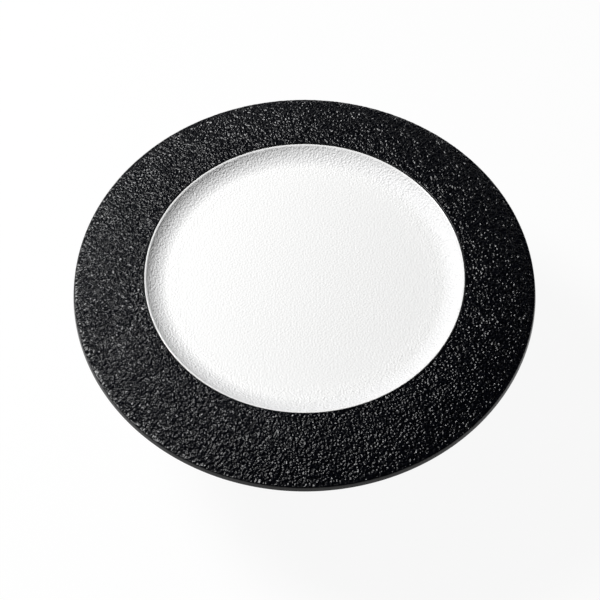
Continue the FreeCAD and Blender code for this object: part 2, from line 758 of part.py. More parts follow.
def canister(document):
    """Sealed lamp housing: grooved flange, stepped drum, holder bosses and three floor holes."""
    body = new_body(document, "canister")
    shoulder_top = CANISTER_BOTTOM + S.shoulder_top
    shoulder_bottom = CANISTER_BOTTOM + S.shoulder_bottom
    revolve(body, "wall", [
        (0.0, CANISTER_BOTTOM),
        (LOWER_OUTER, CANISTER_BOTTOM),
        (LOWER_OUTER, shoulder_bottom),
        (CANISTER_OUTER, shoulder_top),
        (CANISTER_OUTER, LEDGE),
        (FLANGE_RADIUS, LEDGE),
        (FLANGE_RADIUS, FLANGE_TOP),
        (GASKET_OUTER, FLANGE_TOP),
        (GASKET_OUTER, GROOVE_BOTTOM),
        (GASKET_INNER, GROOVE_BOTTOM),
        (GASKET_INNER, FLANGE_TOP),
        (SEAT_RADIUS, FLANGE_TOP),
        (SEAT_RADIUS, REFLECTOR_SEAT),
        (CANISTER_INNER, REFLECTOR_SEAT),
        (CANISTER_INNER, shoulder_top),
        (LOWER_INNER, shoulder_bottom),
        (LOWER_INNER, FLOOR),
        (0.0, FLOOR)])
    round_circles(body, "bottom_rounding", S.canister_wall,
                  [(LOWER_OUTER, CANISTER_BOTTOM)])
    web_reach = DRUM_INNER - S.flange_clearance
    web = upright_web(body, "web", [
        (CANISTER_OUTER - EMBED, LEDGE - S.web_height),
        (web_reach, LEDGE - EMBED),
        (web_reach, LEDGE + EMBED),
        (CANISTER_OUTER - EMBED, LEDGE + EMBED)], S.web_thickness)
    repeat_round(body, [web], S.web_count)
    boss = pad(body, "boss", ((0.0, BOSS_CIRCLE), S.boss_radius), FLOOR - EMBED, HOLDER_BOTTOM)
    repeat_round(body, [boss], 2)
    pilot = pocket(body, "pilot", ((0.0, BOSS_CIRCLE), S.screw_radius),
                   HOLDER_BOTTOM - S.screw_engagement - OVERCUT, HOLDER_BOTTOM + OVERCUT)
    repeat_round(body, [pilot], 2)
    hole_radius = S.gland_thread_radius + S.gland_hole_clearance
    for side, across in (("inlet", S.gland_across), ("loop", -S.gland_across)):
        pocket(body, side + "_hole", ((across, -S.gland_back), hole_radius),
               CANISTER_BOTTOM - OVERCUT, FLOOR + OVERCUT)
    pocket(body, "vent_hole",
           ((S.vent_place, S.vent_side), S.vent_stem_radius + S.gland_hole_clearance),
           CANISTER_BOTTOM - OVERCUT, FLOOR + OVERCUT)
    return body


def reflector(document):
    """White bowl that hangs by its flange round the lamp's face."""
    body = new_body(document, "reflector")
    flange_radius = SEAT_RADIUS - S.reflector_gap
    flange_top = REFLECTOR_SEAT + S.reflector_thickness
    throat_radius = S.lamp_radius + S.reflector_lamp_gap
    throat = flange_top - S.reflector_depth
    bowl_outer = CANISTER_INNER - S.reflector_gap
    wall = S.reflector_thickness
    revolve(body, "bowl", [
        (flange_radius, REFLECTOR_SEAT),
        (flange_radius, flange_top),
        (bowl_outer - wall, flange_top, S.reflector_curve, -1),
        (throat_radius, throat + S.reflector_rim),
        (throat_radius, throat),
        (throat_radius + wall, throat, S.reflector_curve + wall, 1),
        (bowl_outer, REFLECTOR_SEAT)])
    return body


# ---- the lamp ----

def lamp_base(document):
    """Fluted cup with a hub, seats for both boards and an open top."""
    body = new_body(document, "lamp_base")
    board_seat = COVER_JOINT - S.board_seat_drop
    driver_seat = HUB_BOTTOM + S.driver_seat_height
    cup_inner = S.lamp_radius - S.lamp_wall
    seat_inner = cup_inner - S.lamp_wall
    hub_seat_inner = HUB_INNER - S.lamp_wall
    revolve(body, "cup", [
        (0.0, HUB_BOTTOM),
        (HUB_RADIUS, HUB_BOTTOM),
        (HUB_RADIUS, LAMP_BOTTOM),
        (S.lamp_radius, LAMP_BOTTOM),
        (S.lamp_radius, COVER_JOINT),
        (cup_inner, COVER_JOINT),
        (cup_inner, board_seat),
        (seat_inner, board_seat),
        (seat_inner, LAMP_BOTTOM + S.lamp_wall),
        (HUB_INNER, LAMP_BOTTOM + S.lamp_wall),
        (HUB_INNER, driver_seat),
        (hub_seat_inner, driver_seat),
        (hub_seat_inner, HUB_BOTTOM + S.lamp_wall),
        (0.0, HUB_BOTTOM + S.lamp_wall)])
    round_circles(body, "hub_rounding", S.lamp_wall, [(HUB_RADIUS, HUB_BOTTOM)])
    flute = pocket(body, "flute", ((S.lamp_radius + S.flute_radius / 3, 0.0), S.flute_radius),
                   LAMP_BOTTOM + S.lamp_wall, COVER_JOINT - S.lamp_wall)
    repeat_round(body, [flute], S.flute_count)
    return body


def lamp_cover(document):
    """Opal cap over the lamp's boards."""
    body = new_body(document, "lamp_cover")
    inner = S.lamp_radius - S.lamp_wall
    under = LAMP_FACE - S.lamp_wall
    revolve(body, "cap", [
        (0.0, under),
        (inner, under),
        (inner, COVER_JOINT),
        (S.lamp_radius, COVER_JOINT),
        (S.lamp_radius, LAMP_FACE),
        (0.0, LAMP_FACE)])
    round_circles(body, "edge", S.cover_rounding, [(S.lamp_radius, LAMP_FACE)])
    return body


def lamp_pins(document):
    """The two headed pins that hang the lamp in its holder."""
    body = new_body(document, "lamp_pins", separate=True)
    spot = (S.pin_circle, 0.0)
    head_top = HOLDER_TOP - S.holder_plate - S.lamp_seat_gap
    shank = pad(body, "shank", (spot, S.pin_radius), head_top, LAMP_BOTTOM)
    head = pad(body, "head", (spot, S.pin_head_radius), head_top - S.pin_head_height, head_top)
    repeat_round(body, [shank, head], 2)
    return body


def led_board(document):
    """Round metal-core board on the cup's seat."""
    body = new_body(document, "led_board")
    board_seat = COVER_JOINT - S.board_seat_drop
    radius = S.lamp_radius - S.lamp_wall - S.lamp_seat_gap
    pad(body, "disc", ((0.0, 0.0), radius), board_seat, board_seat + S.board_thickness)
    pocket(body, "wire_hole", ((0.0, 0.0), S.board_thickness * 2),
           board_seat - OVERCUT, board_seat + S.board_thickness + OVERCUT)
    return body


def led_chips(document):
    """A ring of square light-emitting chips."""
    body = new_body(document, "led_chips", separate=True)
    board_top = COVER_JOINT - S.board_seat_drop + S.board_thickness
    half = S.chip_side / 2
    outline = rectangle(S.chip_circle - half, S.chip_circle + half, -half, half)
    chip = pad(body, "chip", outline, board_top, board_top + S.chip_height)
    repeat_round(body, [chip], S.chip_count)
    return body


def driver_board(document):
    """Round driver board in the hub, with its two tallest components."""
    body = new_body(document, "driver_board")
    seat = HUB_BOTTOM + S.driver_seat_height
    board_top = seat + S.board_thickness
    radius = HUB_INNER - S.lamp_seat_gap
    pad(body, "disc", ((0.0, 0.0), radius), seat, board_top)
    spread = S.capacitor_radius * 2
    pad(body, "capacitor", ((spread, 0.0), S.capacitor_radius),
        board_top - EMBED, board_top + S.capacitor_height)
    half_coil = S.coil_side / 2
    pad(body, "coil", rectangle(-spread - half_coil, -spread + half_coil, -half_coil, half_coil),
        board_top - EMBED, board_top + S.coil_height)
    return body


# ---- the lampholder ----

CONTACT_TOP = (HOLDER_TOP - S.holder_plate - S.lamp_seat_gap - S.pin_head_height
               - S.contact_gap)
CONTACT_LEFT = HOLDER_BORE + S.holder_wall + S.lamp_seat_gap
CONTACT_TAIL_BOTTOM = CONTACT_TOP - S.contact_tail


def lampholder(document):
    """Ring-shaped holder: slotted plate, two walls and two screw columns."""
    body = new_body(document, "lampholder")
    plate_under = HOLDER_TOP - S.holder_plate
    wall_inner = HOLDER_RADIUS - S.holder_wall
    bore_outer = HOLDER_BORE + S.holder_wall
    revolve(body, "channel", [
        (HOLDER_BORE, HOLDER_BOTTOM),
        (bore_outer, HOLDER_BOTTOM),
        (bore_outer, plate_under),
        (wall_inner, plate_under),
        (wall_inner, HOLDER_BOTTOM),
        (HOLDER_RADIUS, HOLDER_BOTTOM),
        (HOLDER_RADIUS, HOLDER_TOP),
        (HOLDER_BORE, HOLDER_TOP)])
    column = pad(body, "column", ((0.0, BOSS_CIRCLE), S.column_radius),
                 HOLDER_BOTTOM, plate_under + EMBED)
    repeat_round(body, [column], 2)
    hole = pocket(body, "screw_hole", ((0.0, BOSS_CIRCLE), S.screw_radius + S.screw_clearance),
                  HOLDER_BOTTOM - OVERCUT, HOLDER_TOP + OVERCUT)
    repeat_round(body, [hole], 2)
    recess = pocket(body, "head_recess",
                    ((0.0, BOSS_CIRCLE), S.screw_head_radius + S.screw_clearance),
                    plate_under, HOLDER_TOP + OVERCUT)
    repeat_round(body, [recess], 2)
    cut_keyholes(body, plate_under)
    return body


def cut_keyholes(body, plate_under):
    """Two keyholes: the pins rest at the narrow end and leave at the wide one."""
    low = plate_under - OVERCUT
    high = HOLDER_TOP + OVERCUT
    entry = pocket(body, "keyhole_entry",
                   (polar(S.pin_circle, S.lock_angle), S.keyhole_entry_radius), low, high)
    repeat_round(body, [entry], 2)
    rest = pocket(body, "keyhole_rest", ((S.pin_circle, 0.0), S.keyhole_slot_radius), low, high)
    repeat_round(body, [rest], 2)
    outer = S.pin_circle + S.keyhole_slot_radius
    inner = S.pin_circle - S.keyhole_slot_radius
    slot = pocket(body, "keyhole_slot", [
        (inner, 0.0),
        (outer, 0.0, outer, 1),
        polar(outer, S.lock_angle),
        polar(inner, S.lock_angle) + (inner, -1)], low, high)
    repeat_round(body, [slot], 2)


def holder_contacts(document):
    """Two spring contacts under the keyholes, each with a tail for its lead."""
    body = new_body(document, "holder_contacts", separate=True)
    under = CONTACT_TOP - S.contact_thickness
    sketch = new_sketch(body, "strip_outline", "YZ_Plane", height=CONTACT_LEFT)
    near = -S.contact_reach
    far = S.pin_circle * sine(S.lock_angle) + S.pin_head_radius
    draw_outline(sketch, [
        (near, CONTACT_TAIL_BOTTOM),
        (near + S.contact_thickness, CONTACT_TAIL_BOTTOM),
        (near + S.contact_thickness, under),
        (far, under),
        (far, CONTACT_TOP),
        (near, CONTACT_TOP)])
    strip = extrude(body, "strip", sketch, S.contact_width)
    repeat_round(body, [strip], 2)
    return body


def holder_screws(document):
    """Two pan-head screws that hold the lampholder on the canister's bosses."""
    body = new_body(document, "holder_screws", separate=True)
    head_under = HOLDER_TOP - S.holder_plate
    spot = (0.0, BOSS_CIRCLE)
    shank = pad(body, "shank", (spot, S.screw_radius),
                HOLDER_BOTTOM - S.screw_engagement, head_under)
    head_top = HOLDER_TOP - S.lamp_seat_gap
    head = pad(body, "head", (spot, S.screw_head_radius), head_under, head_top)
    half_slot = S.screw_slot_width / 2
    reach = S.screw_head_radius + OVERCUT
    slot = pocket(body, "driver_slot",
                  rectangle(-reach, reach, BOSS_CIRCLE - half_slot, BOSS_CIRCLE + half_slot),
                  head_top - S.screw_slot_depth, head_top + OVERCUT)
    repeat_round(body, [shank, head, slot], 2)
    return body


# ---- the connector and the inner leads ----

BLOCK_BACK = BOSS_CIRCLE - S.boss_radius - S.block_clearance
BLOCK_FRONT = BLOCK_BACK - S.block_depth
BLOCK_MIDDLE = BLOCK_BACK - S.block_depth / 2
WIRE_HEIGHT = FLOOR + S.wire_height


def pole_places():
    return (-S.pole_spacing, Size(0.0, "0.0"), S.pole_spacing)


def terminal_block(document):
    """Three-pole block with wire holes from both sides and screw wells from above."""
    body = new_body(document, "terminal_block")
    half = S.block_length / 2
    top = FLOOR + S.block_height
    pad(body, "block", rectangle(-half, half, BLOCK_FRONT, BLOCK_BACK), FLOOR, top)
    for number, across in enumerate(pole_places(), start=1):
        bore = new_sketch(body, "bore_%d_outline" % number, "XZ_Plane", height=-BLOCK_FRONT)
        draw_circle(bore, (across, WIRE_HEIGHT), S.insert_radius)
        extrude(body, "bore_%d" % number, bore, S.block_depth, kind="PartDesign::Pocket")
        pocket(body, "well_%d" % number, ((across, BLOCK_MIDDLE), S.block_well_radius),
               WIRE_HEIGHT, top + OVERCUT)
    for number, across in enumerate((-S.pole_spacing / 2, S.pole_spacing / 2), start=1):
        outline = rectangle(across - S.parting_width / 2, across + S.parting_width / 2,
                            BLOCK_FRONT - OVERCUT, BLOCK_BACK + OVERCUT)
        pocket(body, "parting_%d" % number, outline, top - S.parting_depth, top + OVERCUT)
    return body


def terminal_inserts(document):
    """Three brass tubes, bored for the wires and tapped for the screws."""
    body = new_body(document, "terminal_inserts", separate=True)
    for number, across in enumerate(pole_places(), start=1):
        sketch = new_sketch(body, "tube_%d_outline" % number, "XZ_Plane", height=-BLOCK_BACK)
        draw_circle(sketch, (across, WIRE_HEIGHT), S.insert_radius)
        draw_circle(sketch, (across, WIRE_HEIGHT), S.wire_hole_radius)
        extrude(body, "tube_%d" % number, sketch, S.block_depth)
    for number, across in enumerate(pole_places(), start=1):
        pocket(body, "tap_%d" % number, ((across, BLOCK_MIDDLE), S.block_screw_radius),
               WIRE_HEIGHT, WIRE_HEIGHT + S.insert_radius + OVERCUT)
    return body


def terminal_screws(document):
    """Three slotted clamping screws."""
    body = new_body(document, "terminal_screws", separate=True)
    top = FLOOR + S.block_height - S.block_screw_sink
    half_slot = S.block_screw_slot / 2
    reach = S.block_screw_radius + OVERCUT
    for number, across in enumerate(pole_places(), start=1):
        pad(body, "screw_%d" % number, ((across, BLOCK_MIDDLE), S.block_screw_radius),
            WIRE_HEIGHT + S.wire_hole_radius, top)
        pocket(body, "driver_slot_%d" % number,
               rectangle(across - reach, across + reach,
                         BLOCK_MIDDLE - half_slot, BLOCK_MIDDLE + half_slot),
               top - S.block_screw_slot_depth, top + OVERCUT)
    return body


def lead(document, name, side):
    """Insulated lead from the back of the block to the tail of one contact."""
    bend = S.lead_bend_radius.value
    radius = S.lead_radius.value
    tail_x = side * (CONTACT_LEFT + S.contact_width / 2).value
    tail_y = -side * (S.contact_reach - S.contact_thickness / 2).value
    start_x = side * S.pole_spacing.value
    back = BLOCK_BACK.value
    turn_y = back + S.lead_start.value + bend
    height = WIRE_HEIGHT.value
    route = [
        VECTOR(start_x, back, height),
        VECTOR(start_x, turn_y, height),
        VECTOR(tail_x, turn_y, height),
        VECTOR(tail_x, tail_y, height),
        VECTOR(tail_x, tail_y, CONTACT_TAIL_BOTTOM.value)]
    path = rounded_path(route, bend)
    start = Part.makeCircle(radius, route[0], (route[1] - route[0]).normalize())
    piece = document.addObject("Part::Feature", name)
    piece.Label = name
    piece.Shape = path.makePipeShell([Part.Wire([start])], True, False)
    return piece


def rounded_path(route, bend):
    """Straight runs through the points, joined by tangent arcs."""
    edges = []
    here = route[0]
    for before, corner, after in zip(route, route[1:], route[2:]):
        back = (before - corner).normalize()
        ahead = (after - corner).normalize()
        half_turn = back.getAngle(ahead) / 2
        cut = bend / math.tan(half_turn)
        into = corner + back * cut
        out = corner + ahead * cut
        bisector = (back + ahead).normalize()
        middle = corner + bisector * (bend / math.sin(half_turn) - bend)
        edges.append(Part.LineSegment(here, into).toShape())
        edges.append(Part.Arc(into, middle, out).toShape())
        here = out
    edges.append(Part.LineSegment(here, route[-1]).toShape())
    return Part.Wire(edges)


# ---- the glands ----

TAIL_BOTTOM = HEX_BOTTOM - S.gland_tail
TAIL_RADIUS = S.gland_thread_radius - S.gland_hole_clearance
SEAL_BOTTOM = NUT_BOTTOM + S.gland_nut_wall
SEAL_TOP = SEAL_BOTTOM + S.seal_height
SEAL_NECK = S.gland_bore - S.gland_hole_clearance
SEAL_SHOULDER = S.gland_seat_radius - S.gland_hole_clearance


def gland_body(document, prefix, across):
    """Threaded tube with a hexagon in its middle."""
    body = new_body(document, prefix + "_body")
    pad(body, "hexagon", hexagon(S.gland_hex), HEX_BOTTOM, WASHER_BOTTOM)
    pad(body, "thread", ((0.0, 0.0), S.gland_thread_radius - S.gland_hole_clearance),
        WASHER_BOTTOM - EMBED, FLOOR + S.locknut_height + S.thread_end)
    pad(body, "tail", ((0.0, 0.0), TAIL_RADIUS), TAIL_BOTTOM, HEX_BOTTOM + EMBED)
    pocket(body, "bore", ((0.0, 0.0), S.gland_bore), TAIL_BOTTOM - OVERCUT,
           FLOOR + S.locknut_height + S.thread_end + OVERCUT)
    place(body, across, -S.gland_back)
    return body


def gland_washer(document, prefix, across):
    """Flat rubber ring between the hexagon and the canister's floor."""
    body = new_body(document, prefix + "_washer")
    revolve(body, "ring", rectangle(S.gland_thread_radius, S.gland_washer_radius,
                                    WASHER_BOTTOM, CANISTER_BOTTOM))
    place(body, across, -S.gland_back)
    return body


def gland_locknut(document, prefix, across):
    """Hexagonal nut inside the canister."""
    body = new_body(document, prefix + "_locknut")
    pad(body, "hexagon", hexagon(S.gland_hex), FLOOR, FLOOR + S.locknut_height)
    pocket(body, "bore", ((0.0, 0.0), S.gland_thread_radius), FLOOR - OVERCUT,
           FLOOR + S.locknut_height + OVERCUT)
    place(body, across, -S.gland_back)
    return body


def gland_seal(document, prefix, across):
    """Rubber bush with a shoulder, squeezed between the nut and the gland's tail."""
    body = new_body(document, prefix + "_seal")
    revolve(body, "bush", [
        (S.cable_bore, SEAL_BOTTOM),
        (SEAL_SHOULDER, SEAL_BOTTOM),
        (SEAL_SHOULDER, TAIL_BOTTOM),
        (SEAL_NECK, TAIL_BOTTOM),
        (SEAL_NECK, SEAL_TOP),
        (S.cable_bore, SEAL_TOP)])
    place(body, across, -S.gland_back)
    return body


def gland_nut(document, prefix, across):
    """Domed compression nut with a hole for the cable."""
    body = new_body(document, prefix + "_nut")
    pad(body, "hexagon", hexagon(S.gland_hex), NUT_BOTTOM, NUT_TOP)
    corner = S.gland_hex / 2 / cosine(30)
    mouth = S.cable_bore + S.gland_nut_wall
    groove(body, "dome", [
        (mouth, NUT_BOTTOM - OVERCUT),
        (corner + OVERCUT, NUT_BOTTOM - OVERCUT),
        (corner + OVERCUT, NUT_TOP - S.gland_nut_height / 3),
        (corner, NUT_TOP - S.gland_nut_height / 3, S.gland_nut_height, -1),
        (mouth, NUT_BOTTOM)])
    pocket(body, "thread", ((0.0, 0.0), S.gland_thread_radius),
           TAIL_BOTTOM - S.gland_hole_clearance, NUT_TOP + OVERCUT)
    pocket(body, "seat", ((0.0, 0.0), S.gland_seat_radius), SEAL_BOTTOM, TAIL_BOTTOM)
    pocket(body, "mouth", ((0.0, 0.0), S.cable_bore), NUT_BOTTOM - OVERCUT, NUT_TOP + OVERCUT)
    place(body, across, -S.gland_back)
    return body


def blanking_plug(document, across):
    """Plug that fills the bore of the gland that isn't used."""
    body = new_body(document, "blanking_plug")
    stem = S.cable_bore
    revolve(body, "plug", [
        (0.0, NUT_BOTTOM - S.plug_head_height),
        (stem + S.gland_nut_wall, NUT_BOTTOM - S.plug_head_height),
        (stem + S.gland_nut_wall, NUT_BOTTOM),
        (stem, NUT_BOTTOM),
        (stem, SEAL_TOP),
        (0.0, SEAL_TOP)])
    place(body, across, -S.gland_back)
    return body


def vent_plug(document):
    """Pressure-equalising plug: slotted head outside, bored stem through the floor."""
    body = new_body(document, "vent_plug")
    head_bottom = CANISTER_BOTTOM - S.vent_head_height
    revolve(body, "turning", [
        (S.vent_bore, head_bottom),
        (S.vent_head_radius, head_bottom),
        (S.vent_head_radius, CANISTER_BOTTOM),
        (S.vent_stem_radius, CANISTER_BOTTOM),
        (S.vent_stem_radius, FLOOR + S.vent_stem_end),
        (S.vent_bore, FLOOR + S.vent_stem_end)])
    half_slot = S.vent_slot_width / 2
    reach = S.vent_head_radius + OVERCUT
    pocket(body, "driver_slot", rectangle(-reach, reach, -half_slot, half_slot),
           head_bottom - OVERCUT, head_bottom + S.vent_slot_depth)
    place(body, S.vent_place, S.vent_side)
    return body


# ---- the whole light ----

def build_parts(document):
    parts = [trim_ring(document), lens_retainer(document), lens(document),
             slip_washer(document), lens_gasket(document), sleeve(document),
             canister(document), reflector(document), lamp_base(document),
             lamp_cover(document), lamp_pins(document), led_board(document),
             led_chips(document), driver_board(document), lampholder(document),
             holder_contacts(document), holder_screws(document), terminal_block(document),
             terminal_inserts(document), terminal_screws(document),
             lead(document, "live_lead", 1), lead(document, "neutral_lead", -1),
             blanking_plug(document, -S.gland_across), vent_plug(document)]
    for prefix, across in (("inlet_gland", S.gland_across), ("loop_gland", -S.gland_across)):
        for make in (gland_body, gland_washer, gland_seal, gland_nut, gland_locknut):
            parts.append(make(document, prefix, across))
    return parts


def check_document(document, parts):
    """Stops before anything is written if an object failed or a shape is unsound."""
    for item in document.Objects:
        if "Invalid" in item.State or "Error" in item.State:
            raise RuntimeError("%s failed: %s" % (item.Name, item.State))
    for piece in parts:
        if piece.Shape.isNull() or not piece.Shape.isValid() or not piece.Shape.Solids:
            raise RuntimeError("%s has no sound shape" % piece.Label)


def main():
    document = FreeCAD.newDocument("well_light")
    make_sheet(document)
    parts = build_parts(document)
    document.recompute()
    check_document(document, parts)
    os.makedirs("parts", exist_ok=True)
    for piece in parts:
        piece.Shape.exportStep(os.path.join("parts", piece.Label + ".step"))
        print("%-22s %d solids %10.1f mm3" % (piece.Label, len(piece.Shape.Solids),
                                             piece.Shape.Volume))


main()
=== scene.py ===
import json
import math

import bpy
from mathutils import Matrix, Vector, noise


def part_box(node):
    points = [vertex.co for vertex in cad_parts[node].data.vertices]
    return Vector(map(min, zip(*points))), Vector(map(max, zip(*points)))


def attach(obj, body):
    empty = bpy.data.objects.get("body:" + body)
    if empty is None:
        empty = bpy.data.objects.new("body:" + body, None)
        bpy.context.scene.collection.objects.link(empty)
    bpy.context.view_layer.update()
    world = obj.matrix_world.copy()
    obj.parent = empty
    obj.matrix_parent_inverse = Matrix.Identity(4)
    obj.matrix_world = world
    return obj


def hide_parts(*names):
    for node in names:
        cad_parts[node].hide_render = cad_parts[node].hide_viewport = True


# The looks of an in ground well light, in metres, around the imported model. The trim ring and the
# lens are modelled here at fine resolution; every other piece keeps its solid and gets a finish.

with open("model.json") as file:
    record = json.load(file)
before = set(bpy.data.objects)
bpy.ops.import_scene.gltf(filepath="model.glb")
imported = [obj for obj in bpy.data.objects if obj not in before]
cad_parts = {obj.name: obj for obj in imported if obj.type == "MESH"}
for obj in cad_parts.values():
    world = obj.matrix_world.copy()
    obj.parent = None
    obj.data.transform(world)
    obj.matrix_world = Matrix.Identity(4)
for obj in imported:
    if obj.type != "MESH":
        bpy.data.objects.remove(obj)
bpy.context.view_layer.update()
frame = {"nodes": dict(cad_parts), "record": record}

MM = 0.001
NODES = frame["nodes"]
RECORD = frame["record"]
MOUNTS = {mount["name"]: mount for mount in RECORD["mounts"]}

# ---- sizes read from the frame ----
GROUND = MOUNTS["ground_seat"]["pos_m"][2]
RING_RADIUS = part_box("trim_ring")[1].x
SKIRT_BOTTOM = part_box("trim_ring")[0].z
LENS_LOW, LENS_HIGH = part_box("lens")
OPENING_TOP = LENS_HIGH.z       # the ring's face at its opening
LENS_LIP_RADIUS = LENS_HIGH.x
LENS_LIP_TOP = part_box("slip_washer")[0].z
BRIM_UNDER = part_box("slip_washer")[1].z
RETAINER_LOW, RETAINER_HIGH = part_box("lens_retainer")

# ---- sizes of the trim ring ----
OPENING_RADIUS = 55.2 * MM
OPENING_ROUNDING = 0.2 * MM
CROWN_RADIUS = 115.0 * MM       # the arc of the ring's face, in section
RING_WALL = 2.6 * MM
LIP_HEIGHT = 2.8 * MM           # from the ground up to where the face ends
LIP_WIDTH = 2.5 * MM
LIP_ROUNDING = 1.0 * MM
LIP_DRAFT = 0.35 * MM
LIP_CHAMFER = 0.7 * MM
SKIRT_INNER = 66.1 * MM
SKIRT_OUTER = 68.8 * MM
GROOVE_RADIUS = 67.0 * MM       # the snap ring's groove in the skirt
GROOVE_CLEARANCE = 0.1 * MM
RIB_COUNT = 36
RIB_THICKNESS = 1.8 * MM
RIB_CLEARANCE = 0.3 * MM        # from the ground up to the ribs
LUG_STARTS = 3
LUG_SPAN = math.radians(34.0)
LUG_INNER = 64.5 * MM
LUG_THICKNESS = 2.4 * MM
LUG_DEPTH = 8.0 * MM            # from the ground down to the middle of a lug
THREAD_LEAD = 30.0 * MM
EMBED = 0.4 * MM                # how far ribs, lugs and keys run into what carries them

# ---- sizes of the lens ----
LENS_RADIUS = 55.0 * MM
LENS_ROUNDING = 0.12 * MM       # at the rim's outer edge
RIM_WIDTH = 0.45 * MM
RIM_DROP = 0.4 * MM             # from the edge of the ring's opening down to the rim
RIM_ROUNDING = 0.6 * MM         # from the rim into the dish
DISH_DEPTH = 4.2 * MM
DISH_CORNER_RADIUS = 8.5 * MM   # the arc of the dish's wall, in section
FLANGE_RADIUS = 61.2 * MM
SPIGOT_RADIUS = 53.0 * MM
SPIGOT_DEPTH = 1.0 * MM
LENS_LIP_THICKNESS = 0.85 * MM
LENS_KEY_WIDTH = 8.0 * MM
LENS_KEY_REACH = 63.0 * MM

# ---- places worked out from the sizes ----
LIP_TOP = GROUND + LIP_HEIGHT
LIP_INNER = RING_RADIUS - LIP_WIDTH
RIB_BOTTOM = GROUND + RIB_CLEARANCE
LUG_MIDDLE = GROUND - LUG_DEPTH
RIM_INNER = LENS_RADIUS - RIM_WIDTH
RIM_HEIGHT = OPENING_TOP - RIM_DROP
DISH_FLOOR = OPENING_TOP - DISH_DEPTH
DISH_CENTRE = DISH_FLOOR + DISH_CORNER_RADIUS       # the height of the wall's centre
DISH_FLOOR_RADIUS = RIM_INNER - math.sqrt(DISH_CORNER_RADIUS ** 2
                                          - (DISH_CENTRE - RIM_HEIGHT) ** 2)
FLANGE_BOTTOM = LENS_LOW.z + SPIGOT_DEPTH
LENS_LIP_BOTTOM = LENS_LIP_TOP - LENS_LIP_THICKNESS

# ---- resolution of the two fine meshes ----
RING_SEGMENTS = 2400
LENS_SEGMENTS = 720
LUG_STEPS = 24
GRAIN_STEP = 0.18 * MM
FLOOR_STEP = 0.8 * MM
PLAIN_STEP = 1.6 * MM
SMALL_EDGE_PARTS = 3            # a small rounding's radius is this many steps long
LOOK_ALONG = 3                  # a curve's direction at a corner is taken this many points on
SHARP_ANGLE = math.radians(38)

# ---- the pebble grain: a coarse and a fine noise, turned against each other ----
GRAIN_HEIGHT = 0.54 * MM        # from the deepest crease to the highest pebble
COARSE_CELL = 0.6 * MM
COARSE_SHARE = 0.85
COARSE_SLICE = 0.5              # the height at which the noise's space is cut
FINE_CELL = 0.45 * MM
FINE_SHARE = 0.15
FINE_SLICE = 7.5
FINE_TURN = (math.cos(0.6), math.sin(0.6))
GRAIN_EDGE = 0.15 * MM          # the smooth line left beside each edge of the face
GRAIN_FADE_OUTER = 0.9 * MM
GRAIN_FADE_INNER = 0.25 * MM

# ---- the lens's frost and painted shade, as shares of what its wall has ----
FLOOR_FROSTING = 0.4
FROSTING_FADE = 6.0 * MM        # the run over which it fades from the wall to the floor
# the band on the floor carries painted shade as well as frost relief
BAND_FROSTING_AND_SHADE = 0.5             # of what the wall has above the floor, in a band on the floor
BAND_RADIUS = 45.6 * MM
BAND_HALF_WIDTH = 2.8 * MM
SHADE_START = 0.65               # the level from which the white is darkened with painted shade


# ---- section curves ----

def arc_points(centre, radius, start, finish, step):
    """Points along an arc in the (r, z) plane, angles in radians, at about this spacing."""
    count = max(2, int(abs(finish - start) * radius / step) + 1)
    points = []
    for index in range(count + 1):
        angle = start + (finish - start) * index / count
        points.append((centre[0] + radius * math.cos(angle),
                       centre[1] + radius * math.sin(angle)))
    return points


def line_points(start, end, step):
    """Points along a straight run, the last one left out."""
    length = math.dist(start, end)
    count = max(1, int(length / step))
    return [(start[0] + (end[0] - start[0]) * index / count,
             start[1] + (end[1] - start[1]) * index / count) for index in range(count)]


def rounded(corner, before, after, radius, step):
    """The arc that rounds a corner between two directions, as points."""
    corner, before, after = Vector(corner), Vector(before), Vector(after)
    to_before = (before - corner).normalized()
    to_after = (after - corner).normalized()
    half = to_before.angle(to_after) / 2
    cut = radius / math.tan(half)
    start = corner + to_before * cut
    end = corner + to_after * cut
    centre = corner + (to_before + to_after).normalized() * (radius / math.sin(half))
    first = math.atan2(start.y - centre.y, start.x - centre.x)
    last = math.atan2(end.y - centre.y, end.x - centre.x)
    turn = (last - first + math.pi) % (2 * math.pi) - math.pi
    return arc_points(centre, radius, first, first + turn, step)


def crown_centre():
    """Centre of the arc that the ring's face follows, in section."""
    reach = (RING_RADIUS - OPENING_RADIUS) / 2
    rise = (OPENING_TOP - LIP_TOP) / 2
    half = math.hypot(reach, rise)
    drop = math.sqrt(CROWN_RADIUS ** 2 - half ** 2)
    return (OPENING_RADIUS + reach - drop * rise / half, LIP_TOP + rise - drop * reach / half)


CROWN_CENTRE = crown_centre()


def crown_height(radius, wall):
    """Height of the surface that lies one wall under the ring's face."""
    return CROWN_CENTRE[1] + math.sqrt((CROWN_RADIUS - wall) ** 2
                                       - (radius - CROWN_CENTRE[0]) ** 2)


def crown_angle(radius, height):
    """The direction in which a point of the section lies from the crown's centre."""
    return math.atan2(height - CROWN_CENTRE[1], radius - CROWN_CENTRE[0])


# ---- mesh helpers ----

def new_object(name, vertices, faces):
    """A mesh object in the scene."""
    mesh = bpy.data.meshes.new(name)
    mesh.from_pydata(vertices, [], faces)
    mesh.validate()
    mesh.update()
    made = bpy.data.objects.new(name, mesh)
    bpy.context.scene.collection.objects.link(made)
    return made


def spin_section(section, segments, closed=True):
    """Vertices and faces of a section turned about the Z axis."""
    vertices = []
    for index in range(segments):
        angle = 2 * math.pi * index / segments
        across, along = math.cos(angle), math.sin(angle)
        vertices.extend((r * across, r * along, z) for r, z in section)
    count = len(section)
    rows = count if closed else count - 1
    faces = []
    for index in range(segments):
        here, there = index * count, (index + 1) % segments * count
        for row in range(rows):
            following = (row + 1) % count
            faces.append((here + row, there + row, there + following, here + following))
    return vertices, faces


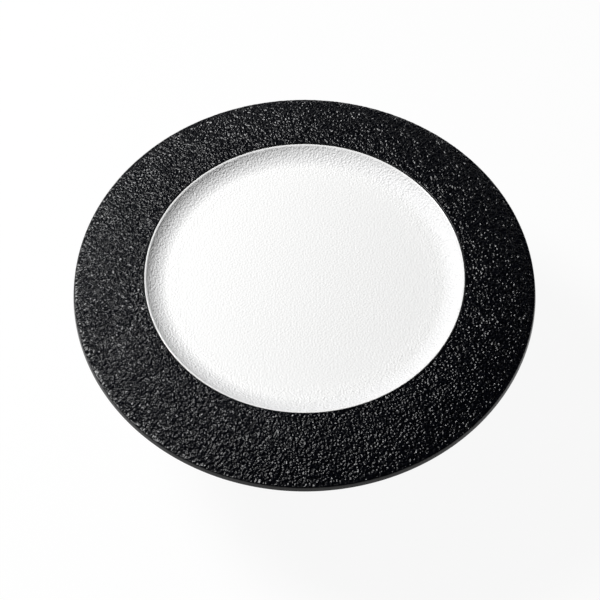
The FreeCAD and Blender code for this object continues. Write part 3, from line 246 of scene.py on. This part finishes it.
def close_ends(vertices, faces, section, segments):
    """Closes a spun section to the Z axis at its last and its first point."""
    count = len(section)
    last, first = len(vertices), len(vertices) + 1
    vertices += [(0.0, 0.0, section[-1][1]), (0.0, 0.0, section[0][1])]
    for index in range(segments):
        here, there = index * count, (index + 1) % segments * count
        faces.append((here + count - 1, there + count - 1, last))
        faces.append((there, here, first))


def add_prism(vertices, faces, outlines):
    """Closes a run of matching outlines into one solid and adds it."""
    base = len(vertices)
    count = len(outlines[0])
    for outline in outlines:
        vertices.extend(outline)
    for step in range(len(outlines) - 1):
        low, high = base + step * count, base + (step + 1) * count
        for index in range(count):
            following = (index + 1) % count
            faces.append((low + index, low + following, high + following, high + index))
    last = base + (len(outlines) - 1) * count
    faces.append(tuple(range(base + count - 1, base - 1, -1)))
    faces.append(tuple(range(last, last + count)))


def turned(point, angle):
    """The point turned about the Z axis."""
    across, along = math.cos(angle), math.sin(angle)
    return (point[0] * across - point[1] * along, point[0] * along + point[1] * across, point[2])


def add_attribute(made, name, values):
    """Gives a mesh one value for each vertex, for its material to read."""
    attribute = made.data.attributes.new(name, "FLOAT", "POINT")
    attribute.data.foreach_set("value", values)


def shade(made):
    """Smooth shading, with the true corners kept sharp."""
    made.data.polygons.foreach_set("use_smooth", [True] * len(made.data.polygons))
    made.data.set_sharp_from_angle(angle=SHARP_ANGLE)


# ---- the trim ring ----

def ring_section():
    """The whole section of the ring, and how many of its points may carry the grain."""
    face_start = (OPENING_RADIUS, OPENING_TOP)
    face_end = (RING_RADIUS - LIP_DRAFT, LIP_TOP)
    lip_foot = (RING_RADIUS, GROUND + LIP_CHAMFER)
    face = arc_points(CROWN_CENTRE, CROWN_RADIUS, crown_angle(*face_start),
                      crown_angle(*face_end), GRAIN_STEP)
    inner_limit = OPENING_RADIUS + OPENING_ROUNDING
    outer_limit = face_end[0] - LIP_ROUNDING
    face = [point for point in face if inner_limit < point[0] < outer_limit]
    opening_edge = rounded(face_start, (OPENING_RADIUS, BRIM_UNDER), face[LOOK_ALONG],
                           OPENING_ROUNDING, OPENING_ROUNDING / SMALL_EDGE_PARTS)
    lip_edge = rounded(face_end, face[-1 - LOOK_ALONG], lip_foot, LIP_ROUNDING, GRAIN_STEP)
    top = opening_edge + face + lip_edge

    under_lip = (LIP_INNER, crown_height(LIP_INNER, RING_WALL))
    under_skirt = (SKIRT_OUTER, crown_height(SKIRT_OUTER, RING_WALL))
    corners = [lip_foot, (RING_RADIUS - LIP_CHAMFER, GROUND), (LIP_INNER, GROUND), under_lip]
    below = []
    for start, end in zip(corners, corners[1:]):
        below += line_points(start, end, PLAIN_STEP)
    below += arc_points(CROWN_CENTRE, CROWN_RADIUS - RING_WALL, crown_angle(*under_lip),
                        crown_angle(*under_skirt), PLAIN_STEP)
    groove_low = RETAINER_LOW.z - GROOVE_CLEARANCE
    groove_high = RETAINER_HIGH.z + GROOVE_CLEARANCE
    below += [(SKIRT_OUTER, SKIRT_BOTTOM), (SKIRT_INNER, SKIRT_BOTTOM), (SKIRT_INNER, groove_low),
              (GROOVE_RADIUS, groove_low), (GROOVE_RADIUS, groove_high),
              (SKIRT_INNER, groove_high), (SKIRT_INNER, BRIM_UNDER),
              (OPENING_RADIUS, BRIM_UNDER)]
    return top + below, len(top)


def grain(x, y):
    """Height of the pebble grain, from 0 in a crease to 1 on a pebble's top."""
    across = (x * FINE_TURN[0] - y * FINE_TURN[1]) / FINE_CELL
    along = (x * FINE_TURN[1] + y * FINE_TURN[0]) / FINE_CELL
    coarse = noise.noise(Vector((x / COARSE_CELL, y / COARSE_CELL, COARSE_SLICE)))
    fine = noise.noise(Vector((across, along, FINE_SLICE)))
    return min(1.0, max(0.0, 0.5 + COARSE_SHARE * coarse + FINE_SHARE * fine))


def grain_strength(radius):
    """Fades the grain out on the rounded lip and at the edge of the opening."""
    outer = (RING_RADIUS - GRAIN_EDGE - radius) / GRAIN_FADE_OUTER
    inner = (radius - OPENING_RADIUS - GRAIN_EDGE) / GRAIN_FADE_INNER
    share = min(1.0, max(0.0, min(outer, inner)))
    return share * share * (3 - 2 * share)


def cut_grain(vertices, section, grained_rows):
    """Cuts the grain into the ring's face and returns its height at each vertex."""
    heights = [0.0] * len(vertices)
    count = len(section)
    for row in range(1, grained_rows):
        radius = section[row][0]
        strength = grain_strength(radius)
        if strength == 0.0:
            continue
        before, after = section[row - 1], section[row + 1]
        run = math.dist(before, after)
        normal_r = (before[1] - after[1]) / run
        normal_z = (after[0] - before[0]) / run
        for segment in range(RING_SEGMENTS):
            index = segment * count + row
            x, y, z = vertices[index]
            level = grain(x, y)
            push = GRAIN_HEIGHT * (level - 1.0) * strength
            heights[index] = level * strength
            scale = 1 + push * normal_r / radius
            vertices[index] = (x * scale, y * scale, z + push * normal_z)
    return heights


def add_ribs(vertices, faces):
    """Radial ribs between the skirt and the lip."""
    inner, outer = SKIRT_OUTER - EMBED, LIP_INNER + EMBED
    half = RIB_THICKNESS / 2
    top_wall = RING_WALL - EMBED
    for index in range(RIB_COUNT):
        angle = 2 * math.pi * index / RIB_COUNT
        sides = []
        for across in (-half, half):
            side = [(inner, across, RIB_BOTTOM), (outer, across, RIB_BOTTOM),
                    (outer, across, crown_height(outer, top_wall)),
                    (inner, across, crown_height(inner, top_wall))]
            sides.append([turned(point, angle) for point in side])
        add_prism(vertices, faces, sides[::-1])


def add_lugs(vertices, faces):
    """The three helical lugs inside the skirt."""
    inner, outer = LUG_INNER, SKIRT_INNER + EMBED
    for start in range(LUG_STARTS):
        outlines = []
        for step in range(LUG_STEPS + 1):
            sweep = LUG_SPAN * (step / LUG_STEPS - 0.5)
            middle = LUG_MIDDLE + THREAD_LEAD * sweep / (2 * math.pi)
            low, high = middle - LUG_THICKNESS / 2, middle + LUG_THICKNESS / 2
            angle = sweep + 2 * math.pi * start / LUG_STARTS
            square = [(inner, 0, low), (outer, 0, low), (outer, 0, high), (inner, 0, high)]
            outlines.append([turned(point, angle) for point in square])
        add_prism(vertices, faces, outlines)


def make_ring():
    """The trim ring as one fine mesh, with the pebble grain in its face."""
    section, grained_rows = ring_section()
    vertices, faces = spin_section(section, RING_SEGMENTS)
    heights = cut_grain(vertices, section, grained_rows)
    add_ribs(vertices, faces)
    add_lugs(vertices, faces)
    heights += [0.0] * (len(vertices) - len(heights))
    ring = new_object("trim_ring_moulding", vertices, faces)
    add_attribute(ring, "grain", heights)
    shade(ring)
    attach(ring, "ring_assembly")
    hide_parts("trim_ring")
    return ring


# ---- the lens ----

def lens_section():
    """The section of the lens, from the spigot's foot round to the middle of the dish."""
    below = [(SPIGOT_RADIUS, LENS_LOW.z), (SPIGOT_RADIUS, FLANGE_BOTTOM),
             (FLANGE_RADIUS, FLANGE_BOTTOM), (FLANGE_RADIUS, LENS_LIP_BOTTOM),
             (LENS_LIP_RADIUS, LENS_LIP_BOTTOM), (LENS_LIP_RADIUS, LENS_LIP_TOP),
             (LENS_RADIUS, LENS_LIP_TOP)]
    wall_start = math.atan2(RIM_HEIGHT - DISH_CENTRE, RIM_INNER - DISH_FLOOR_RADIUS)
    wall = arc_points((DISH_FLOOR_RADIUS, DISH_CENTRE), DISH_CORNER_RADIUS, wall_start,
                      -math.pi / 2, GRAIN_STEP)
    floor = line_points((DISH_FLOOR_RADIUS, DISH_FLOOR), (0.0, DISH_FLOOR), FLOOR_STEP)
    outer_edge = rounded((LENS_RADIUS, RIM_HEIGHT), (LENS_RADIUS, LENS_LIP_TOP),
                         (RIM_INNER, RIM_HEIGHT), LENS_ROUNDING,
                         LENS_ROUNDING / SMALL_EDGE_PARTS)
    inner_edge = rounded((RIM_INNER, RIM_HEIGHT), (LENS_RADIUS, RIM_HEIGHT), wall[LOOK_ALONG],
                         RIM_ROUNDING, GRAIN_STEP)
    return below + outer_edge + inner_edge + wall[LOOK_ALONG + 1:] + floor[1:]


def add_keys(vertices, faces):
    """The two keys at the flange, which keep the lens from turning."""
    half = LENS_KEY_WIDTH / 2
    inner = FLANGE_RADIUS - 2 * EMBED
    outline = [(inner, -half), (LENS_KEY_REACH, -half), (LENS_KEY_REACH, half), (inner, half)]
    for angle in (0.0, math.pi):
        add_prism(vertices, faces, [[turned((x, y, z), angle) for x, y in outline]
                                    for z in (FLANGE_BOTTOM, LENS_LIP_BOTTOM + EMBED)])


def frost_and_shade(radius):
    """How much frost and painted shade the lens has: most on the dish's wall, less on its floor,
    none on the rim.
    """
    if radius > RIM_INNER - LENS_ROUNDING:
        return 0.0
    wall = (radius - DISH_FLOOR_RADIUS) / FROSTING_FADE + 0.5
    band = BAND_FROSTING_AND_SHADE * (1 - abs(radius - BAND_RADIUS) / BAND_HALF_WIDTH)
    share = max(0.0, min(1.0, wall), band)
    return FLOOR_FROSTING + (1 - FLOOR_FROSTING) * share


def make_lens():
    """The lens as one fine mesh: rim, dished face, flange with lip, spigot and two keys."""
    section = lens_section()
    vertices, faces = spin_section(section, LENS_SEGMENTS, closed=False)
    close_ends(vertices, faces, section, LENS_SEGMENTS)
    add_keys(vertices, faces)
    lens = new_object("lens_moulding", vertices, faces)
    add_attribute(lens, "dish", [frost_and_shade(math.hypot(x, y)) for x, y, _ in vertices])
    shade(lens)
    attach(lens, "lens_assembly")
    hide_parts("lens")
    return lens


# ---- materials ----

class Finish:
    """A node material with a principled shader, built up in short steps."""

    def __init__(self, name, colour, roughness, metallic=0.0):
        self.material = bpy.data.materials.new(name)
        self.material.use_nodes = True
        self.tree = self.material.node_tree
        self.shader = self.tree.nodes["Principled BSDF"]
        self.shader.inputs["Base Color"].default_value = (*colour, 1.0)
        self.shader.inputs["Roughness"].default_value = roughness
        self.shader.inputs["Metallic"].default_value = metallic
        self.place = self.tree.nodes.new("ShaderNodeTexCoord").outputs["Object"]

    def node(self, kind, **values):
        """A new node with these settings."""
        made = self.tree.nodes.new(kind)
        for name, value in values.items():
            setattr(made, name, value)
        return made

    def link(self, output, target):
        """Joins an output to an input."""
        self.tree.links.new(output, target)

    def attribute(self, name):
        """The mesh's value of this name."""
        return self.node("ShaderNodeAttribute", attribute_name=name).outputs["Fac"]

    def stretched(self, scale):
        """Object coordinates, scaled along each axis."""
        mapping = self.node("ShaderNodeMapping")
        mapping.inputs["Scale"].default_value = scale
        self.link(self.place, mapping.inputs["Vector"])
        return mapping.outputs["Vector"]

    def clouds(self, size, detail, place=None):
        """A noise field whose blotches are about this size."""
        field = self.node("ShaderNodeTexNoise")
        field.inputs["Scale"].default_value = 1 / size
        field.inputs["Detail"].default_value = detail
        self.link(place or self.place, field.inputs["Vector"])
        return field.outputs["Fac"]

    def remap(self, value, low, high, start=0.0, end=1.0):
        """Goes from low to high as the value goes from start to end."""
        curve = self.node("ShaderNodeMapRange", clamp=True)
        self.link(value, curve.inputs["Value"])
        for name, number in (("From Min", start), ("From Max", end),
                             ("To Min", low), ("To Max", high)):
            curve.inputs[name].default_value = number
        return curve.outputs["Result"]

    def product(self, first, second):
        """Two values multiplied."""
        step = self.node("ShaderNodeMath", operation="MULTIPLY")
        self.link(first, step.inputs[0])
        self.link(second, step.inputs[1])
        return step.outputs["Value"]

    def mix_colour(self, factor, first, second):
        """Colours the surface from the first colour, at 0, to the second, at 1."""
        mix = self.node("ShaderNodeMix", data_type="RGBA")
        self.link(factor, mix.inputs["Factor"])
        mix.inputs["A"].default_value = (*first, 1.0)
        mix.inputs["B"].default_value = (*second, 1.0)
        self.link(mix.outputs["Result"], self.shader.inputs["Base Color"])

    def roughness(self, value):
        """Makes the surface as rough as the value says."""
        self.link(value, self.shader.inputs["Roughness"])

    def bump(self, height, depth, strength=1.0):
        """Gives the surface relief this deep, in metres."""
        relief = self.node("ShaderNodeBump")
        relief.inputs["Strength"].default_value = strength
        relief.inputs["Distance"].default_value = depth
        self.link(height, relief.inputs["Height"])
        self.link(relief.outputs["Normal"], self.shader.inputs["Normal"])


# the ring's black, with painted shade darker in the creases and painted light on the pebble tops
RING_BLACK = (0.0012, 0.0015, 0.003)
RING_CREASE_PAINTED_SHADE = (0.0008, 0.001, 0.002)
RING_PEBBLE_PAINTED_LIGHT = (0.0016, 0.002, 0.004)
RING_GLOSS = 0.33               # specular level
CREASE_ROUGHNESS = 0.288
PEBBLE_ROUGHNESS = 0.277
LENS_WHITE = (0.9, 0.9, 0.895)
# the dish wall's white, darkened as painted shade
LENS_WALL_SHADE = (0.82, 0.82, 0.822)
RIM_ROUGHNESS = 0.12
FROSTED_ROUGHNESS = 0.55
FROST_SIZE = 0.66 * MM
FROST_DEPTH = 0.3 * MM
RUBBER_SLOTS = ("gasket_rubber", "seal_rubber", "lead_brown", "lead_blue")
METAL_STREAK = (1.0, 1.0, 40.0)
METAL_ROUGHNESS = {"spring_steel": 0.3, "brass_plated": 0.28, "board_metal": 0.42,
                   "screw_steel": 0.32}
PLASTIC_ROUGHNESS = {"washer_plastic": 0.35, "reflector_white": 0.3, "lamp_plastic": 0.34,
                     "lamp_opal": 0.4, "chip_yellow": 0.25, "holder_plastic": 0.38,
                     "block_plastic": 0.36}
OTHER_ROUGHNESS = 0.5           # of the plastics not listed


def dimmed(colour, share):
    """The colour at this share of its brightness."""
    return tuple(channel * share for channel in colour)


def ring_finish():
    """Black moulded plastic, slightly glossier on the pebble tops than in the shade-painted
    creases.
    """
    finish = Finish("ring_black", RING_BLACK, roughness=0.25)
    tops = finish.attribute("grain")
    # painted shade and light: the black follows the grain's height, darker in creases, lighter on
    # tops
    finish.mix_colour(tops, RING_CREASE_PAINTED_SHADE, RING_PEBBLE_PAINTED_LIGHT)
    finish.roughness(finish.remap(tops, CREASE_ROUGHNESS, PEBBLE_ROUGHNESS))
    finish.shader.inputs["Specular IOR Level"].default_value = RING_GLOSS
    finish.bump(finish.clouds(size=0.3 * MM, detail=1.0), depth=0.02 * MM)
    return finish.material


def lens_finish():
    """White, frost relief on the dish, painted shade on its wall and floor band, a polished rim.
    """
    finish = Finish("lens_white", LENS_WHITE, roughness=0.45)
    frost_and_shade_level = finish.attribute("dish")
    finish.roughness(finish.remap(frost_and_shade_level, RIM_ROUGHNESS, FROSTED_ROUGHNESS,
                                  end=FLOOR_FROSTING))
    # painted shade: the white is darkened on the dish's wall and in the band on its floor
    finish.mix_colour(finish.remap(frost_and_shade_level, low=0.0, high=1.0, start=SHADE_START),
                      LENS_WHITE, LENS_WALL_SHADE)
    relief = finish.product(finish.clouds(FROST_SIZE, detail=0.0), frost_and_shade_level)
    finish.bump(relief, FROST_DEPTH)
    return finish.material


def plastic(name, colour, roughness):
    """Moulded plastic with a fine eroded texture and slight cloudiness."""
    finish = Finish(name, colour, roughness)
    cloudy = finish.clouds(size=14 * MM, detail=4.0)
    finish.mix_colour(finish.remap(cloudy, low=0.0, high=1.0, start=0.35, end=0.65),
                      dimmed(colour, 0.82), colour)
    patches = finish.clouds(size=3 * MM, detail=4.0)
    finish.roughness(finish.remap(patches, low=roughness - 0.06, high=roughness + 0.08,
                                  start=0.3, end=0.7))
    finish.bump(finish.clouds(size=0.25 * MM, detail=3.0), depth=0.01 * MM, strength=0.5)
    return finish.material


def rubber(name, colour):
    """Matt rubber with a dusty bloom."""
    finish = Finish(name, colour, roughness=0.75)
    bloom = tuple(min(1.0, channel * 1.5 + 0.01) for channel in colour)
    dusty = finish.clouds(size=6 * MM, detail=5.0)
    finish.mix_colour(finish.remap(dusty, low=0.0, high=1.0, start=0.45, end=0.75),
                      colour, bloom)
    finish.bump(finish.clouds(size=0.18 * MM, detail=3.0), depth=0.008 * MM, strength=0.6)
    return finish.material


def metal(name, colour, roughness):
    """Bare or plated metal with fine machining streaks."""
    finish = Finish(name, colour, roughness, metallic=1.0)
    streaks = finish.clouds(size=1.5 * MM, detail=3.0, place=finish.stretched(METAL_STREAK))
    finish.roughness(finish.remap(streaks, low=roughness - 0.08, high=roughness + 0.12,
                                  start=0.3, end=0.7))
    stained = finish.clouds(size=5 * MM, detail=4.0)
    finish.mix_colour(finish.remap(stained, low=0.0, high=1.0, start=0.4, end=0.7),
                      dimmed(colour, 0.8), colour)
    finish.bump(streaks, depth=0.004 * MM, strength=0.5)
    return finish.material


def slot_finish(slot, colour):
    """The finish of a slot; its colour comes from the record, apart from ring and lens."""
    if slot == "ring_plastic":
        return ring_finish()
    if slot == "lens_frosted":
        return lens_finish()
    if slot in RUBBER_SLOTS:
        return rubber(slot, colour)
    if slot in METAL_ROUGHNESS:
        return metal(slot, colour, METAL_ROUGHNESS[slot])
    return plastic(slot, colour, PLASTIC_ROUGHNESS.get(slot, OTHER_ROUGHNESS))


def finish_nodes(ring, lens):
    """Gives every piece the finish of its slot."""
    finishes = {material["slot"]: slot_finish(material["slot"], material["base_color"][:3])
                for material in RECORD["materials"]}
    for part in RECORD["subparts"]:
        node = NODES[part["node"]]
        node.data.materials.clear()
        node.data.materials.append(finishes[part["material_slot"]])
    ring.data.materials.append(finishes["ring_plastic"])
    lens.data.materials.append(finishes["lens_frosted"])


# ---- floor, world, softbox and camera ----

CENTRE = Vector((0.0, 0.0, LIP_TOP))
SOFTBOX_DIRECTION = Vector((-0.55, 0.19, 0.81)).normalized()
SOFTBOX_DISTANCE = 0.8
SOFTBOX_SIZE = 0.26
SOFTBOX_POWER = 8.0
BACKDROP_DIRECTION = Vector((-0.5, 0.75, 0.43)).normalized()
BACKDROP_LEVEL = 2.2
BACKDROP_EDGE = 0.5             # cosine of the angle from its middle at which it starts
BACKDROP_CORE = 0.95            # and at which it is full
FLOOR_REACH = 4.0
FLOOR_LEVEL = -0.1 * MM         # just clear of the foot's underside
FLOOR_COLOUR = (0.92, 0.92, 0.92)
FLOOR_ROUGHNESS = 0.9
FLOOR_GLOSS = 0.1
FLOOR_WHITE = 0.93              # how much of the floor is pure white to the camera
FLOOR_REFLECTED = 0.8           # and in reflections


def background_rays(tree, kinds):
    """How white each kind of ray sees the background; 0 for the kinds not listed."""
    rays = tree.nodes.new("ShaderNodeLightPath")
    seen = None
    for kind, share in kinds.items():
        scaled = tree.nodes.new("ShaderNodeMath")
        scaled.operation = "MULTIPLY"
        scaled.inputs[1].default_value = share
        tree.links.new(rays.outputs["Is %s Ray" % kind], scaled.inputs[0])
        output = scaled.outputs[0]
        if seen is not None:
            either = tree.nodes.new("ShaderNodeMath")
            either.operation = "MAXIMUM"
            tree.links.new(seen, either.inputs[0])
            tree.links.new(output, either.inputs[1])
            output = either.outputs[0]
        seen = output
    return seen


def mix_shaders(tree, factor, first, second, target):
    """Sends the target the first shader where the factor is 0, and the second where it is 1."""
    mix = tree.nodes.new("ShaderNodeMixShader")
    tree.links.new(factor, mix.inputs["Fac"])
    tree.links.new(first, mix.inputs[1])
    tree.links.new(second, mix.inputs[2])
    tree.links.new(mix.outputs["Shader"], target)


def make_floor():
    """A plain white floor just under the sleeve's foot."""
    reach, level = FLOOR_REACH, FLOOR_LEVEL
    floor = new_object("floor", [(-reach, -reach, level), (reach, -reach, level),
                                 (reach, reach, level), (-reach, reach, level)], [(0, 1, 2, 3)])
    material = bpy.data.materials.new("floor_white")
    material.use_nodes = True
    tree = material.node_tree
    shader = tree.nodes["Principled BSDF"]
    shader.inputs["Base Color"].default_value = (*FLOOR_COLOUR, 1)
    shader.inputs["Roughness"].default_value = FLOOR_ROUGHNESS
    shader.inputs["Specular IOR Level"].default_value = FLOOR_GLOSS
    glow = tree.nodes.new("ShaderNodeEmission")
    glow.inputs["Color"].default_value = (1, 1, 1, 1)
    seen = {"Camera": FLOOR_WHITE, "Glossy": FLOOR_REFLECTED, "Transmission": FLOOR_WHITE}
    mix_shaders(tree, background_rays(tree, seen), shader.outputs["BSDF"],
                glow.outputs["Emission"], tree.nodes["Material Output"].inputs["Surface"])
    floor.data.materials.append(material)


def make_world():
    """White where the camera looks past the floor; for the rest a dark room, pale behind."""
    world = bpy.data.worlds.new("studio")
    bpy.context.scene.world = world
    world.use_nodes = True
    tree = world.node_tree
    coordinates = tree.nodes.new("ShaderNodeTexCoord")
    toward = tree.nodes.new("ShaderNodeVectorMath")
    toward.operation = "DOT_PRODUCT"
    toward.inputs[1].default_value = BACKDROP_DIRECTION
    tree.links.new(coordinates.outputs["Generated"], toward.inputs[0])
    level = tree.nodes.new("ShaderNodeMapRange")
    level.inputs["From Min"].default_value = BACKDROP_EDGE
    level.inputs["From Max"].default_value = BACKDROP_CORE
    level.inputs["To Min"].default_value = 0.0
    level.inputs["To Max"].default_value = BACKDROP_LEVEL
    tree.links.new(toward.outputs["Value"], level.inputs["Value"])
    room = tree.nodes["Background"]
    tree.links.new(level.outputs["Result"], room.inputs["Strength"])
    white = tree.nodes.new("ShaderNodeBackground")
    white.inputs["Color"].default_value = (1, 1, 1, 1)
    seen = background_rays(tree, {"Camera": 1.0, "Transmission": 1.0})
    mix_shaders(tree, seen, room.outputs["Background"], white.outputs["Background"],
                tree.nodes["World Output"].inputs["Surface"])


def make_softbox():
    """The one lamp, high at the left and a little behind the object."""
    lamp = bpy.data.lights.new("key", "AREA")
    lamp.shape = "SQUARE"
    lamp.size = SOFTBOX_SIZE
    lamp.energy = SOFTBOX_POWER
    softbox = bpy.data.objects.new("key", lamp)
    bpy.context.scene.collection.objects.link(softbox)
    softbox.location = CENTRE + SOFTBOX_DIRECTION * SOFTBOX_DISTANCE
    softbox.rotation_mode = "QUATERNION"
    softbox.rotation_quaternion = SOFTBOX_DIRECTION.to_track_quat("Z", "Y")


# The photograph's frame and the camera that was fitted to the ring's two edges in it.
FRAME_PIXELS = 600
FOCAL_PIXELS = 1949.7
CENTRE_PIXEL = (304.45, 281.2)
CAMERA_DISTANCE = 674.6 * MM
CAMERA_ELEVATION = math.radians(57.15)
SENSOR = 36.0                   # millimetres, as Blender has it


def make_camera():
    """Sets the camera where the photograph was taken from, aimed so the ring falls in place."""
    data = bpy.data.cameras.new("camera")
    data.sensor_width = SENSOR
    data.lens = FOCAL_PIXELS / FRAME_PIXELS * SENSOR
    camera = bpy.data.objects.new("camera", data)
    bpy.context.scene.collection.objects.link(camera)
    back = Vector((0.0, -math.cos(CAMERA_ELEVATION), math.sin(CAMERA_ELEVATION)))
    right = Vector((1.0, 0.0, 0.0))
    up = back.cross(right)
    offset_x = CENTRE_PIXEL[0] - FRAME_PIXELS / 2
    offset_y = FRAME_PIXELS / 2 - CENTRE_PIXEL[1]
    aim = -back * FOCAL_PIXELS - right * offset_x - up * offset_y
    camera.location = CENTRE + back * CAMERA_DISTANCE
    camera.rotation_mode = "QUATERNION"
    camera.rotation_quaternion = aim.to_track_quat("-Z", "Y")
    bpy.context.scene.camera = camera


make_floor()
make_world()
make_softbox()
make_camera()
bpy.context.scene.view_settings.view_transform = "Standard"
finish_nodes(make_ring(), make_lens())
